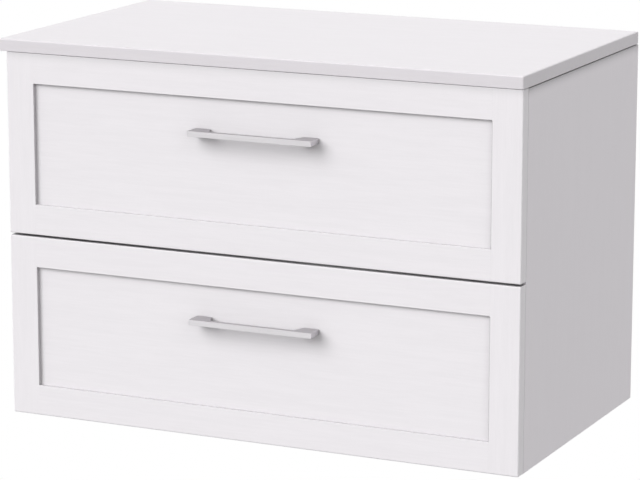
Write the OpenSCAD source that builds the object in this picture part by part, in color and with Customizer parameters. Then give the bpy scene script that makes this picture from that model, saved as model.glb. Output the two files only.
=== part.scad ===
// Wall-hung bathroom vanity with two framed drawer fronts, one above the other.
// x = 0 is the middle of the cabinet, with +x to the right as seen from the front.
// y = 0 is the wall, and the drawers open towards -y.
// z = 0 is the height of the middle of the wall plates' screw pattern.

/* [Cabinet] */
// Width across the two side panels
cabinet_w = 800; // [560:5:1200]
// Depth from the wall to the face of the drawer fronts
cabinet_d = 460; // [450:1:560]
// Height of the cabinet without its worktop
cabinet_h = 538; // [520:1:640]
// Thickness of the side panels, the base panel and the rails
board_t = 18; // [16:0.5:19]
// Depth of the flat rail under the front of the worktop
top_rail_d = 80; // [60:1:90]
// Height of the upper back rail
upper_back_rail_h = 100; // [90:1:110]
// Height of the lower back rail
lower_back_rail_h = 80; // [60:1:120]
// Space between the wall and the back rails
wall_gap = 20; // [14:0.5:24]

/* [Worktop] */
// Thickness of the worktop
worktop_t = 18; // [12:0.5:40]
// How far the worktop passes the left side panel
overhang_left = 13; // [0:0.5:30]
// How far the worktop passes the right side panel
overhang_right = 0; // [0:0.5:30]
// How far the worktop passes the face of the drawer fronts
overhang_front = 0; // [0:0.5:20]

/* [Drawer fronts] */
// Thickness of the stiles and rails that frame each front
front_t = 18; // [16:0.5:22]
// Width of the stiles and rails
frame_w = 45; // [40:0.5:60]
// Depth of the centre panel's face behind the face of the frame
recess_d = 6; // [4:0.5:7]
// Thickness of the tongues on the centre panel and on the rails' ends
tongue_t = 6; // [4:0.5:7]
// Length of those tongues
tongue_l = 8.5; // [6:0.5:10]
// Height of the lower front
lower_front_h = 268.5; // [260:0.5:290]
// Gap between the two fronts
front_gap = 3; // [2:0.5:5]
// Gap between the upper front and the worktop
top_gap = 1.5; // [1:0.5:4]
// Space between the back of a closed front and the cabinet
front_air = 1.6; // [1.4:0.1:3]
// Thickness of the bumper pads in that space
bumper_t = 1.5; // [1:0.1:1.5]
// Radius of the bumper pads
bumper_r = 4; // [3:0.5:6]

/* [Handles] */
// Length of a handle from end to end
handle_l = 192; // [180:1:260]
// Height of a handle's bar
handle_h = 8; // [7:0.5:14]
// How far a handle stands out from the centre panel
handle_reach = 28; // [24:0.5:40]
// Thickness of a handle's bar from front to back
handle_bar_t = 8; // [6:0.5:10]
// Width of a handle's foot where it meets the panel
handle_foot_w = 23; // [20:0.5:30]
// How much wider the foot grows where it meets the bar
handle_foot_flare = 8; // [4:0.5:14]
// Distance between the handle's two screws
handle_screw_spacing = 160; // [150:1:166]
// Height of the upper handle above the middle of its front
upper_handle_rise = 40; // [20:0.5:60]
// Height of the lower handle above the middle of its front
lower_handle_rise = 38; // [20:0.5:60]

/* [Drawer boxes] */
// Thickness of the base and back boards of a drawer
drawer_board_t = 16; // [14:0.5:18]
// Thickness of a drawer's hollow steel side
drawer_side_t = 14; // [13:0.5:20]
// Thickness of the steel sheet of a drawer's side
side_sheet_t = 1; // [0.8:0.1:1.5]
// Radius of the rounded top edges of a drawer's side
side_edge_r = 3; // [2:0.5:5]
// Width of the shelf on each side that carries the base board
side_shelf_w = 22; // [14:1:30]
// Height of the sides of the upper drawer
upper_side_h = 120; // [110:1:160]
// Height of the sides of the lower drawer
lower_side_h = 170; // [110:1:200]
// Length of a drawer's side and base from front to back
drawer_l = 350; // [300:5:355]
// Width of the way for the waste pipe in the upper drawer
pipe_way_w = 240; // [160:2:280]
// Depth of that way from the back of the drawer
pipe_way_d = 200; // [120:2:240]

/* [Runners] */
// Height of the upper runners above the underside of the upper front
upper_runner_lift = 20; // [16:0.5:40]
// Height of the lower runners above the underside of the cabinet
lower_runner_lift = 28; // [22:0.5:40]
// Gap between a side panel and the channel of a runner
runner_side_gap = 5; // [4.5:0.5:7]
// Width of a runner's channel
channel_w = 26; // [24:0.5:32]
// Height of a runner's channel
channel_h = 10; // [9:0.5:12]
// Thickness of the runners' steel
channel_t = 1.5; // [1.2:0.1:1.8]
// Width of the lips that keep the intermediate member in its channels
lip_w = 5; // [4:0.5:7]
// Height of the flange that is screwed to the side panel
flange_h = 25; // [23:0.5:28]
// Running clearance between the members of a runner
running_clear = 0.3; // [0.25:0.05:0.5]

/* [Hangers] */
// Height of the cabinet's top edge above the middle of the wall plates' screws
hang_drop = 60; // [58:0.5:70]
// Thickness of the steel of the wall plates
plate_t = 2; // [1.5:0.1:3]
// Width of a wall plate
plate_w = 46; // [36:1:60]
// Gap between the wall and the raised lip of a wall plate
lip_gap = 6; // [5:0.1:8]
// Height of the lip's top edge above the middle of the screws
lip_top = 44; // [42:0.5:45]
// Radius of the screw holes in the wall plates
plate_hole_r = 3.5; // [2.5:0.1:4]
// Distance between the upper and the lower screw of a wall plate
plate_hole_rise = 32; // [24:0.5:36]
// Distance from a side panel's inner face to its wall plate's screws
plate_hole_inset = 24; // [20:0.5:40]
// Width of a hanger's hook
hook_w = 8; // [6:0.5:10]
// Height of a hook's arm
hook_arm_h = 8; // [7:0.5:10]
// Thickness of the tongue that drops behind the lip
hook_tongue_t = 3; // [2:0.1:3.2]
// Length of a hanger's housing from front to back
hanger_l = 60; // [50:1:80]

/* [Fasteners] */
// Radius of a cam housing
cam_r = 7.4; // [6:0.1:8]
// Height of a cam housing
cam_h = 12; // [11:0.1:13]
// Distance from a side panel to the middle of a cam
cam_reach = 34; // [24:0.5:40]
// Radius of a cam bolt's thread in the side panel
cam_thread_r = 2.5; // [2:0.1:3.5]
// Length of a cam bolt's thread in the side panel
cam_thread_l = 11; // [8:0.5:13]
// Radius of the shank of the wood screws
wood_screw_r = 2; // [1.5:0.1:2.5]
// Radius of the heads of the wood screws
wood_screw_head_r = 3.5; // [3:0.1:4]
// Length of the wood screws under the head
wood_screw_l = 14; // [12:0.5:15.5]
// Radius of the machine screws that hold the handles
handle_screw_r = 2; // [1.5:0.1:2.5]
// Length of the thread that enters a handle's foot
handle_thread_l = 10; // [6:0.5:14]
// Clearance of a fastener in its hole
fastener_clear = 0.1; // [0.05:0.05:0.2]
// Clearance of a board or tongue in the place that it fits
board_clear = 0.2; // [0.1:0.05:0.3]

/* [Hidden] */
$fn = 48;

// how far a cut passes the face that it opens
cut_past = 1;
// how much deeper a blind hole is than what it holds
hole_spare = 0.5;
board_colour = "#f3f1f3";
liner_colour = "#e4e3e5";
steel_colour = "#b9bbbf";
sheet_colour = "#cfd1d4";
handle_colour = "#c3c1c3";
plastic_colour = "#8d9094";

// main planes of the cabinet
side_x = cabinet_w / 2;
inner_x = side_x - board_t;
top_z = hang_drop;
bottom_z = top_z - cabinet_h;
front_y = -cabinet_d;
front_back_y = front_y + front_t;
carcass_y = front_back_y + front_air;
rail_back_y = -wall_gap;
rail_front_y = rail_back_y - board_t;

// the two fronts
upper_front_z = bottom_z + lower_front_h + front_gap;
upper_front_h = top_z - top_gap - upper_front_z;
lower_front_z = bottom_z;
panel_y = front_y + recess_d;
tongue_back_y = panel_y + tongue_t;
groove_d = tongue_l + board_clear;

// runners and drawer boxes, measured inwards from a side panel's inner face
upper_runner_z = upper_front_z + upper_runner_lift;
lower_runner_z = bottom_z + lower_runner_lift;
channel_end = runner_side_gap + channel_w;
channel_gap = 1;
drawer_member_z = channel_h + channel_gap;
runner_h = drawer_member_z + channel_h;
skin_end = runner_side_gap + drawer_side_t;
base_lift = runner_h + side_sheet_t;
box_half_w = inner_x - skin_end - board_clear;
drawer_back_y = front_back_y + drawer_l;
cabinet_member_start = 2;
cabinet_member_l = drawer_l;
intermediate_start = 3;
intermediate_short = 10;
intermediate_l = drawer_l - intermediate_short;
drawer_member_start = 1;
drawer_member_short = 4;
drawer_member_l = drawer_l - drawer_member_short;

// cross recess in a screw's head, as shares of the head's radius and height
recess_half_l = 0.5;
recess_half_w = 0.12;
recess_floor = 0.4;
head_top_share = 0.8;

// distance of the bumper pads from the upper and lower edges of the fronts
bumper_inset = 20;
// the pads leave a little air, or they would hold the fronts open
bumper_air = 0.1;
pad_t = min(bumper_t, front_air - bumper_air);

// screws that hold a runner to its side panel, measured from the panel's front edge
runner_screw_y = [37, 165, 293];
screw_head_h = 2;
flange_screw_edge = 1;
flange_screw_z = flange_h - wood_screw_head_r - flange_screw_edge;

// soft-close unit beside each runner and the catch tab on the drawer member
damper_w = 12;
damper_h = 14;
damper_l = 110;
damper_z = 2;
damper_slot_w = 4;
damper_slot_d = 8;
damper_slot_spare = 4;
damper_back_gap = 2;
tab_t = 1.5;
tab_l = 8;
tab_back = 28;
tab_drop = 9;
tab_arm_z = 6;

// brackets that join the steel sides to the fronts
bracket_t = 2;
bracket_l = 32;
bracket_h = 70;
bracket_z = 14;
bracket_screw_z = [16, 48];
bracket_screw_wall = 1;
// the screws stand in the middle of the bracket, or where the groove in the stile leaves wood
bracket_screw_u = min(runner_side_gap + (drawer_side_t + bracket_t) / 2,
  frame_w - board_t - groove_d - wood_screw_r - bracket_screw_wall);

// angles under the worktop
angle_leg = 22;
angle_l = 30;
angle_t = 2;
front_angle_gap = 30;
rear_angle_gap = 45;
angle_y = [carcass_y + top_rail_d + front_angle_gap, rail_front_y - hanger_l - rear_angle_gap];

// hangers and wall plates
housing_wall = 4;
housing_w = hook_w + 2 * housing_wall;
housing_rail_gap = 2;
housing_back_y = rail_front_y - housing_rail_gap;
housing_front_y = housing_back_y - hanger_l;
housing_front_wall = 10;
housing_top = lip_top + hook_arm_h + housing_wall;
housing_h = 48;
cavity_h = 32;
hook_leg_t = 8;
hook_bore_past = 8;
hook_foot_gap = 2;
hook_front_gap = 4;
hook_front_y = housing_front_y + housing_front_wall + hook_front_gap;
hook_mid_u = housing_wall + hook_w / 2;
tongue_drop = 11;
tongue_clear = 0.5;
hanger_screw_r = 3;
hanger_head_r = 5;
hanger_head_h = 3;
upper_screw_z = lip_top + hook_arm_h / 2;
hanger_screw_rise = 20;
lower_screw_z = upper_screw_z - hanger_screw_rise;
stud_r = 5;
stud_l = 10;
stud_drop = 10;
stud_z = upper_screw_z - stud_drop;
stud_inset = 15;
stud_y = [stud_inset, hanger_l - stud_inset];
notch_side_room = 4;
notch_w = housing_w + notch_side_room;
notch_foot_room = 8;
notch_d = top_z - lip_top + notch_foot_room;
plate_foot = 12;
joggle_h = 4;
tongue_gap = 2;
plate_side_gap = 1;

// where the boards meet the side panels: [y, z, turn about x that points the cam's face]
joint_setback = 60;
upper_back_joint_rise = 30;
base_joints = [[carcass_y + joint_setback, bottom_z + board_t / 2, 0],
  [rail_back_y - joint_setback, bottom_z + board_t / 2, 0]];
top_joints = [[carcass_y + top_rail_d / 2, top_z - board_t / 2, 180]];
upper_back_joints = [[rail_back_y - board_t / 2, top_z - upper_back_rail_h + upper_back_joint_rise, 90]];
lower_back_joints = [[rail_back_y - board_t / 2, bottom_z + board_t + lower_back_rail_h / 2, 90]];
all_joints = concat(base_joints, top_joints, upper_back_joints, lower_back_joints);
cam_recess_l = 9;
cam_recess_w = 1.4;
cam_recess_d = 1.5;
cam_shank_r = 3;
cam_shank_hole_r = 4;
cam_head_r = 3.5;
cam_head_l = 4;
cam_head_past = 2;
cam_head_gap = 1;
// the bore for a cam also has to clear the head of its bolt
cam_bore_d = max(cam_h + hole_spare, board_t / 2 + cam_head_r);

// handles
handle_back_y = panel_y;
handle_front_y = panel_y - handle_reach;
handle_head_r = 4;
handle_head_h = 2.4;
handle_hole_spare = 2;
handle_panel_hole_clear = 0.3;
handle_panel_hole_r = handle_screw_r + handle_panel_hole_clear;

// ---- helpers ----

module mirrored() {
  mirror([1, 0, 0]) children();
}

module both_sides() {
  children();
  mirrored() children();
}

// A box from its lowest corner to its highest
module box(low, high) {
  translate(low) cube(high - low);
}

// Moves to the left side panel's inner face at height z, where x runs inwards
module at_left_inner(z) {
  translate([-inner_x, 0, z]) children();
}

// A screw along -z with its head above z = 0 and a cross recess in the head
module screw(shank_r, shank_l, head_r, head_h) {
  difference() {
    union() {
      translate([0, 0, -shank_l]) cylinder(r = shank_r, h = shank_l + head_h / 2);
      cylinder(r1 = head_r, r2 = head_r * head_top_share, h = head_h);
    }
    for (turn = [0, 90])
      rotate([0, 0, turn])
        translate([-head_r * recess_half_l, -head_r * recess_half_w, head_h * recess_floor])
          cube([2 * head_r * recess_half_l, 2 * head_r * recess_half_w, head_h]);
  }
}

module wood_screw() {
  screw(wood_screw_r, wood_screw_l, wood_screw_head_r, screw_head_h);
}

// The pilot hole of a wood screw below z = 0, behind a plate of the given thickness
module wood_screw_hole(plate) {
  hole_l = wood_screw_l - plate + hole_spare;
  translate([0, 0, -hole_l]) cylinder(r = wood_screw_r + fastener_clear, h = hole_l + cut_past);
}

// The hole of a wood screw in a plate that lies on z = 0
module plate_hole(plate) {
  translate([0, 0, -cut_past])
    cylinder(r = wood_screw_r + fastener_clear, h = plate + 2 * cut_past);
}

// ---- cam joints ----

// Puts a joint's parts at the left end of its board, where x runs into the board
module at_joint(spot) {
  translate([-inner_x, spot[0], spot[1]]) rotate([spot[2], 0, 0]) children();
}

module cam_housing() {
  translate([cam_reach, 0, board_t / 2 - cam_h]) difference() {
    cylinder(r = cam_r, h = cam_h);
    translate([-cam_r - cut_past, 0, cam_h - board_t / 2]) rotate([0, 90, 0])
      cylinder(r = cam_shank_hole_r, h = cam_r + cut_past + cam_head_past);
    for (turn = [45, 135])
      rotate([0, 0, turn]) translate([-cam_recess_l / 2, -cam_recess_w / 2, cam_h - cam_recess_d])
        cube([cam_recess_l, cam_recess_w, cam_recess_d + cut_past]);
  }
}

module cam_bolt() {
  head_start = cam_reach + cam_head_past - cam_head_gap - cam_head_l;
  rotate([0, 90, 0]) {
    translate([0, 0, -cam_thread_l]) cylinder(r = cam_thread_r, h = cam_thread_l);
    cylinder(r = cam_shank_r, h = head_start);
    translate([0, 0, head_start]) cylinder(r = cam_head_r, h = cam_head_l);
  }
}

module cam_board_cuts(spots) {
  for (spot = spots) both_sides() at_joint(spot) {
    translate([cam_reach, 0, board_t / 2 - cam_bore_d])
      cylinder(r = cam_r + fastener_clear, h = cam_bore_d + cut_past);
    translate([-cut_past, 0, 0]) rotate([0, 90, 0])
      cylinder(r = cam_shank_hole_r, h = cam_reach + cut_past);
  }
}

// ---- carcass ----

module side_panel() {
  color(board_colour) difference() {
    box([-side_x, carcass_y, bottom_z], [-inner_x, 0, top_z]);
    for (spot = all_joints) at_joint(spot) rotate([0, 90, 0])
      translate([0, 0, -cam_thread_l - hole_spare])
        cylinder(r = cam_thread_r + fastener_clear, h = cam_thread_l + hole_spare + cut_past);
    for (z = [upper_runner_z, lower_runner_z]) at_runner_screws(z) wood_screw_hole(channel_t);
    at_studs() translate([0, 0, -hole_spare])
      cylinder(r = stud_r + fastener_clear, h = stud_l + hole_spare + cut_past);
    for (y = angle_y) at_angle_side_screw(y) wood_screw_hole(angle_t);
  }
}

module side_panel_left() {
  side_panel();
}

module side_panel_right() {
  mirrored() side_panel();
}

module base_panel() {
  color(board_colour) difference() {
    box([-inner_x, carcass_y, bottom_z], [inner_x, rail_back_y, bottom_z + board_t]);
    cam_board_cuts(base_joints);
  }
}

module front_top_rail() {
  color(board_colour) difference() {
    box([-inner_x, carcass_y, top_z - board_t], [inner_x, carcass_y + top_rail_d, top_z]);
    cam_board_cuts(top_joints);
  }
}

// The corners of the upper back rail are cut away to let the hooks through
module back_rail_upper() {
  color(board_colour) difference() {
    box([-inner_x, rail_front_y, top_z - upper_back_rail_h], [inner_x, rail_back_y, top_z]);
    both_sides() at_left_inner(top_z - notch_d)
      translate([-cut_past, rail_front_y - cut_past, 0])
        cube([notch_w + cut_past, board_t + 2 * cut_past, notch_d + cut_past]);
    cam_board_cuts(upper_back_joints);
  }
}

module back_rail_lower() {
  color(board_colour) difference() {
    box([-inner_x, rail_front_y, bottom_z + board_t],
        [inner_x, rail_back_y, bottom_z + board_t + lower_back_rail_h]);
    cam_board_cuts(lower_back_joints);
  }
}

module worktop() {
  color(board_colour) difference() {
    box([-side_x - overhang_left, front_y - overhang_front, top_z],
        [side_x + overhang_right, 0, top_z + worktop_t]);
    for (y = angle_y) both_sides() at_angle_top_screw(y) wood_screw_hole(angle_t);
  }
}

module carcass_cams() {
  color(steel_colour) for (spot = all_joints) both_sides() at_joint(spot) cam_housing();
}

module carcass_cam_bolts() {
  color(steel_colour) for (spot = all_joints) both_sides() at_joint(spot) cam_bolt();
}

// ---- angles that hold the worktop ----

// Places for the two screws of the angle at y, with each screw's shank along -z
module at_angle_side_screw(y) {
  at_left_inner(top_z - angle_leg / 2 - angle_t) translate([0, y, 0]) rotate([0, 90, 0]) children();
}

module at_angle_top_screw(y) {
  at_left_inner(top_z) translate([angle_leg / 2 + angle_t, y, 0]) rotate([180, 0, 0]) children();
}

module worktop_brackets() {
  color(steel_colour) for (y = angle_y) both_sides() difference() {
    at_left_inner(top_z) translate([0, y - angle_l / 2, 0]) union() {
      translate([0, 0, -angle_leg]) cube([angle_t, angle_l, angle_leg]);
      translate([0, 0, -angle_t]) cube([angle_leg, angle_l, angle_t]);
    }
    at_angle_side_screw(y) plate_hole(angle_t);
    at_angle_top_screw(y) plate_hole(angle_t);
  }
}

module bracket_screws() {
  color(sheet_colour) for (y = angle_y) both_sides() {
    at_angle_side_screw(y) translate([0, 0, angle_t]) wood_screw();
    at_angle_top_screw(y) translate([0, 0, angle_t]) wood_screw();
  }
}

// ---- hangers ----

// Places for the studs that hold a housing, from each stud's far end in the side panel
module at_studs() {
  for (y = stud_y) translate([-inner_x - stud_l, housing_front_y + y, stud_z]) rotate([0, 90, 0]) children();
}

module hanger_housing() {
  at_studs() cylinder(r = stud_r, h = stud_l + housing_wall / 2);
  at_left_inner(0) difference() {
    translate([0, housing_front_y, housing_top - housing_h]) cube([housing_w, hanger_l, housing_h]);
    translate([housing_wall - running_clear, housing_front_y + housing_front_wall,
               housing_top - housing_wall + running_clear - cavity_h])
      cube([hook_w + 2 * running_clear, hanger_l, cavity_h]);
    for (z = [upper_screw_z, lower_screw_z])
      translate([hook_mid_u, housing_front_y - cut_past, z]) rotate([-90, 0, 0])
        cylinder(r = hanger_screw_r + fastener_clear, h = housing_front_wall + 2 * cut_past);
  }
}

module hanger_housings() {
  color(plastic_colour) both_sides() hanger_housing();
}

// An arm over the lip of the wall plate, a tongue behind it, and a leg inside the housing
module hanger_hook() {
  tongue_y = -lip_gap + tongue_clear;
  at_left_inner(0) difference() {
    translate([housing_wall, 0, 0]) union() {
      translate([0, hook_front_y, lip_top])
        cube([hook_w, tongue_y + hook_tongue_t - hook_front_y, hook_arm_h]);
      translate([0, tongue_y, lip_top - tongue_drop])
        cube([hook_w, hook_tongue_t, tongue_drop + hook_arm_h]);
      translate([0, hook_front_y, lip_top + hook_arm_h - cavity_h + hook_foot_gap])
        cube([hook_w, hook_leg_t, cavity_h - hook_foot_gap]);
    }
    translate([hook_mid_u, hook_front_y - cut_past, upper_screw_z]) rotate([-90, 0, 0])
      cylinder(r = hanger_screw_r + fastener_clear, h = hook_leg_t + cut_past + hook_bore_past);
  }
}

module hanger_hooks() {
  color(steel_colour) both_sides() hanger_hook();
}

// The upper screw draws the hook back, and the lower one presses on its leg
module hanger_screws() {
  upper_l = hook_front_y + hook_leg_t - housing_front_y;
  lower_l = hook_front_y - housing_front_y - fastener_clear;
  color(sheet_colour) both_sides() at_left_inner(0) {
    translate([hook_mid_u, housing_front_y, upper_screw_z]) rotate([90, 0, 0])
      screw(hanger_screw_r, upper_l, hanger_head_r, hanger_head_h);
    translate([hook_mid_u, housing_front_y, lower_screw_z]) rotate([90, 0, 0])
      screw(hanger_screw_r, lower_l, hanger_head_r, hanger_head_h);
  }
}

// A flat foot on the wall that steps out to a raised lip for the hook
module wall_plate() {
  step_z = lip_top - tongue_drop - joggle_h - tongue_gap;
  foot_z = -plate_hole_rise / 2 - plate_foot;
  profile = [[0, foot_z], [0, step_z], [-lip_gap, step_z + joggle_h], [-lip_gap, lip_top],
    [-lip_gap - plate_t, lip_top], [-lip_gap - plate_t, step_z + joggle_h - plate_t / 2],
    [-plate_t, step_z - plate_t / 2], [-plate_t, foot_z]];
  at_left_inner(0) difference() {
    translate([plate_side_gap, 0, 0]) rotate([90, 0, 90]) linear_extrude(plate_w) polygon(profile);
    for (rise = [-1, 1]) translate([plate_hole_inset, cut_past, rise * plate_hole_rise / 2])
      rotate([90, 0, 0]) cylinder(r = plate_hole_r, h = plate_t + 2 * cut_past);
  }
}

module wall_plates() {
  color(steel_colour) both_sides() wall_plate();
}

// ---- runners ----

// Places for a runner's screws, with each screw's shank along -z into the left side panel
module at_runner_screws(z) {
  for (y = runner_screw_y) translate([-inner_x, carcass_y + y, z + flange_screw_z])
    rotate([0, 90, 0]) children();
}

// Extrudes an outline in x and z backwards, from y over length l
module extrude_back(y, l) {
  translate([0, y + l, 0]) rotate([90, 0, 0]) linear_extrude(l) children();
}

// A channel that opens upwards, with lips turned in at its mouth
module channel_outline() {
  difference() {
    square([channel_w, channel_h]);
    translate([channel_t, channel_t]) square([channel_w - 2 * channel_t, channel_h - 2 * channel_t]);
    translate([lip_w, channel_t]) square([channel_w - 2 * lip_w, channel_h]);
  }
}

module cabinet_member(z) {
  color(steel_colour) difference() {
    at_left_inner(z) extrude_back(carcass_y + cabinet_member_start, cabinet_member_l) union() {
      translate([runner_side_gap, 0]) channel_outline();
      square([runner_side_gap + channel_t, channel_t]);
      square([channel_t, flange_h]);
    }
    at_runner_screws(z) plate_hole(channel_t);
  }
}

// Half of the intermediate member: a tray that lies inside a channel, with the web's half
module tray_outline() {
  tray_w = channel_w - 2 * channel_t - 2 * running_clear;
  tray_h = channel_h - 2 * channel_t - 2 * running_clear;
  mid_h = (runner_h - 2 * channel_t - 2 * running_clear) / 2;
  translate([channel_t + running_clear, channel_t + running_clear]) {
    square([tray_w, channel_t]);
    for (x = [0, tray_w - channel_t]) translate([x, 0]) square([channel_t, tray_h]);
    translate([tray_w / 2 - channel_t, 0]) square([2 * channel_t, mid_h]);
  }
}

module intermediate_member(z) {
  color(sheet_colour) at_left_inner(z) extrude_back(carcass_y + intermediate_start, intermediate_l)
    translate([runner_side_gap, 0]) {
      tray_outline();
      translate([0, runner_h]) mirror([0, 1]) tray_outline();
    }
}

// A channel that opens downwards, with a tab that meets the soft-close catch
module drawer_member(z) {
  tab_y = front_back_y + drawer_l - tab_back;
  slot_mid = channel_end + damper_w / 2;
  color(steel_colour) at_left_inner(z) {
    extrude_back(front_back_y + drawer_member_start, drawer_member_l)
      translate([runner_side_gap, runner_h]) mirror([0, 1]) channel_outline();
    translate([channel_end, tab_y, drawer_member_z + tab_arm_z])
      cube([slot_mid - channel_end + tab_t / 2, tab_l, tab_t]);
    translate([slot_mid - tab_t / 2, tab_y, drawer_member_z + tab_arm_z - tab_drop + tab_t])
      cube([tab_t, tab_l, tab_drop]);
  }
}

// The case of a soft-close unit, slotted along its top and open at its front for the tab
module damper(z) {
  back_y = carcass_y + cabinet_member_start + cabinet_member_l - damper_back_gap;
  slot_end = front_back_y + drawer_l - tab_back + tab_l + damper_slot_spare;
  at_left_inner(z) translate([channel_end, 0, damper_z]) difference() {
    translate([0, back_y - damper_l, 0]) cube([damper_w, damper_l, damper_h]);
    translate([damper_w / 2 - damper_slot_w / 2, back_y - damper_l - cut_past, damper_h - damper_slot_d])
      cube([damper_slot_w, slot_end - (back_y - damper_l) + cut_past, damper_slot_d + cut_past]);
  }
}

module soft_close_dampers() {
  color(plastic_colour) for (z = [upper_runner_z, lower_runner_z]) both_sides() damper(z);
}

module runner_screws() {
  color(sheet_colour) for (z = [upper_runner_z, lower_runner_z]) both_sides()
    at_runner_screws(z) translate([0, 0, channel_t]) wood_screw();
}

module bumper_pads() {
  heights = [lower_front_z + bumper_inset, lower_front_z + lower_front_h - bumper_inset,
    upper_front_z + bumper_inset, upper_front_z + upper_front_h - bumper_inset];
  color(plastic_colour) for (z = heights) both_sides()
    translate([-side_x + board_t / 2, carcass_y, z]) rotate([90, 0, 0])
      cylinder(r = bumper_r, h = pad_t);
}

module upper_cabinet_member_left() {
  cabinet_member(upper_runner_z);
}

module upper_cabinet_member_right() {
  mirrored() cabinet_member(upper_runner_z);
}

module lower_cabinet_member_left() {
  cabinet_member(lower_runner_z);
}

module lower_cabinet_member_right() {
  mirrored() cabinet_member(lower_runner_z);
}

module upper_intermediate_member_left() {
  intermediate_member(upper_runner_z);
}

module upper_intermediate_member_right() {
  mirrored() intermediate_member(upper_runner_z);
}

module lower_intermediate_member_left() {
  intermediate_member(lower_runner_z);
}

module lower_intermediate_member_right() {
  mirrored() intermediate_member(lower_runner_z);
}

module upper_drawer_member_left() {
  drawer_member(upper_runner_z);
}

module upper_drawer_member_right() {
  mirrored() drawer_member(upper_runner_z);
}

module lower_drawer_member_left() {
  drawer_member(lower_runner_z);
}

module lower_drawer_member_right() {
  mirrored() drawer_member(lower_runner_z);
}

// ---- drawer fronts ----

// The left stile, grooved along its inner edge, with pilot holes for its bracket
module front_stile(z, h, runner_z) {
  color(board_colour) difference() {
    box([-side_x, front_y, z], [-side_x + frame_w, front_back_y, z + h]);
    box([-side_x + frame_w - groove_d, panel_y - board_clear / 2, z - cut_past],
        [-side_x + frame_w + cut_past, tongue_back_y + board_clear / 2, z + h + cut_past]);
    at_front_screws(runner_z) wood_screw_hole(bracket_t);
  }
}

// A rail that is grooved along its upper edge, with a tongue at each end
module bottom_rail(z) {
  half_w = side_x - frame_w;
  color(board_colour) difference() {
    union() {
      box([-half_w, front_y, z], [half_w, front_back_y, z + frame_w]);
      box([-half_w - tongue_l, panel_y, z], [half_w + tongue_l, tongue_back_y, z + frame_w]);
    }
    box([-half_w - groove_d, panel_y - board_clear / 2, z + frame_w - groove_d],
        [half_w + groove_d, tongue_back_y + board_clear / 2, z + frame_w + cut_past]);
  }
}

module top_rail(z, h) {
  translate([0, 0, 2 * z + h]) mirror([0, 0, 1]) bottom_rail(z);
}

// The centre panel: a tongue all round, and a back that is level with the frame's back
module front_panel(z, h, handle_z) {
  half_w = side_x - frame_w;
  color(board_colour) difference() {
    union() {
      box([-half_w - tongue_l, panel_y, z + frame_w - tongue_l],
          [half_w + tongue_l, tongue_back_y, z + h - frame_w + tongue_l]);
      box([-half_w + board_clear, panel_y, z + frame_w + board_clear],
          [half_w - board_clear, front_back_y, z + h - frame_w - board_clear]);
    }
    at_handle_screws(handle_z) translate([0, 0, -front_t])
      cylinder(r = handle_panel_hole_r, h = 2 * front_t);
  }
}

// A flat bar with two feet that widen towards the bar
module handle(z) {
  end = handle_l / 2;
  foot = end - handle_foot_w;
  bend = foot - handle_foot_flare;
  bar_back_y = handle_front_y + handle_bar_t;
  profile = [[-end, handle_back_y], [-end, handle_front_y], [end, handle_front_y], [end, handle_back_y],
    [foot, handle_back_y], [bend, bar_back_y], [-bend, bar_back_y], [-foot, handle_back_y]];
  color(handle_colour) difference() {
    translate([0, 0, z - handle_h / 2]) linear_extrude(handle_h) polygon(profile);
    for (x = [-1, 1]) translate([x * handle_screw_spacing / 2, handle_back_y + cut_past, z])
      rotate([90, 0, 0])
        cylinder(r = handle_screw_r + fastener_clear, h = cut_past + handle_thread_l + handle_hole_spare);
  }
}

// Places for a handle's screws on the back of its panel, with each shank along -z
module at_handle_screws(z) {
  for (x = [-1, 1]) translate([x * handle_screw_spacing / 2, front_back_y, z])
    rotate([-90, 0, 0]) children();
}

module handle_screws(z) {
  color(sheet_colour) at_handle_screws(z)
    screw(handle_screw_r, front_back_y - panel_y + handle_thread_l, handle_head_r, handle_head_h);
}

// ---- drawer boxes ----

// The outline of a steel side: a hollow wall with a rounded top and a shelf for the base
module side_outline(h) {
  module rounded_top(w, top, r) {
    square([w, top - r]);
    translate([r, 0]) square([w - 2 * r, top]);
    for (x = [r, w - r]) translate([x, top - r]) circle(r = r);
  }
  difference() {
    rounded_top(drawer_side_t, h, side_edge_r);
    translate([side_sheet_t, side_sheet_t])
      rounded_top(drawer_side_t - 2 * side_sheet_t, h - 2 * side_sheet_t, side_edge_r - side_sheet_t);
  }
  translate([drawer_side_t - side_sheet_t, 0]) square([side_shelf_w + side_sheet_t, side_sheet_t]);
}

module drawer_side(runner_z, h) {
  color(sheet_colour) at_left_inner(runner_z) extrude_back(front_back_y, drawer_l)
    translate([runner_side_gap, runner_h]) side_outline(h);
}

// The angle inside a steel side's front end that is screwed to the stile
module front_bracket() {
  inside = runner_side_gap + side_sheet_t + running_clear;
  inside_w = drawer_side_t - 2 * side_sheet_t - 2 * running_clear;
  translate([inside, front_back_y, runner_h + bracket_z]) union() {
    cube([inside_w, bracket_t, bracket_h]);
    cube([bracket_t, bracket_l, bracket_h]);
  }
}

// Places for a bracket's screws, with each shank along -z into the stile
module at_front_screws(runner_z) {
  for (rise = bracket_screw_z) at_left_inner(runner_z + runner_h + bracket_z + rise)
    translate([bracket_screw_u, front_back_y, 0]) rotate([-90, 0, 0]) children();
}

module front_brackets(runner_z) {
  color(steel_colour) both_sides() difference() {
    at_left_inner(runner_z) front_bracket();
    at_front_screws(runner_z) {
      plate_hole(bracket_t);
      translate([0, 0, bracket_t]) cylinder(r = wood_screw_head_r + fastener_clear, h = bracket_l);
    }
  }
}

module front_screws(runner_z) {
  color(sheet_colour) both_sides() at_front_screws(runner_z) translate([0, 0, bracket_t]) wood_screw();
}

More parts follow.
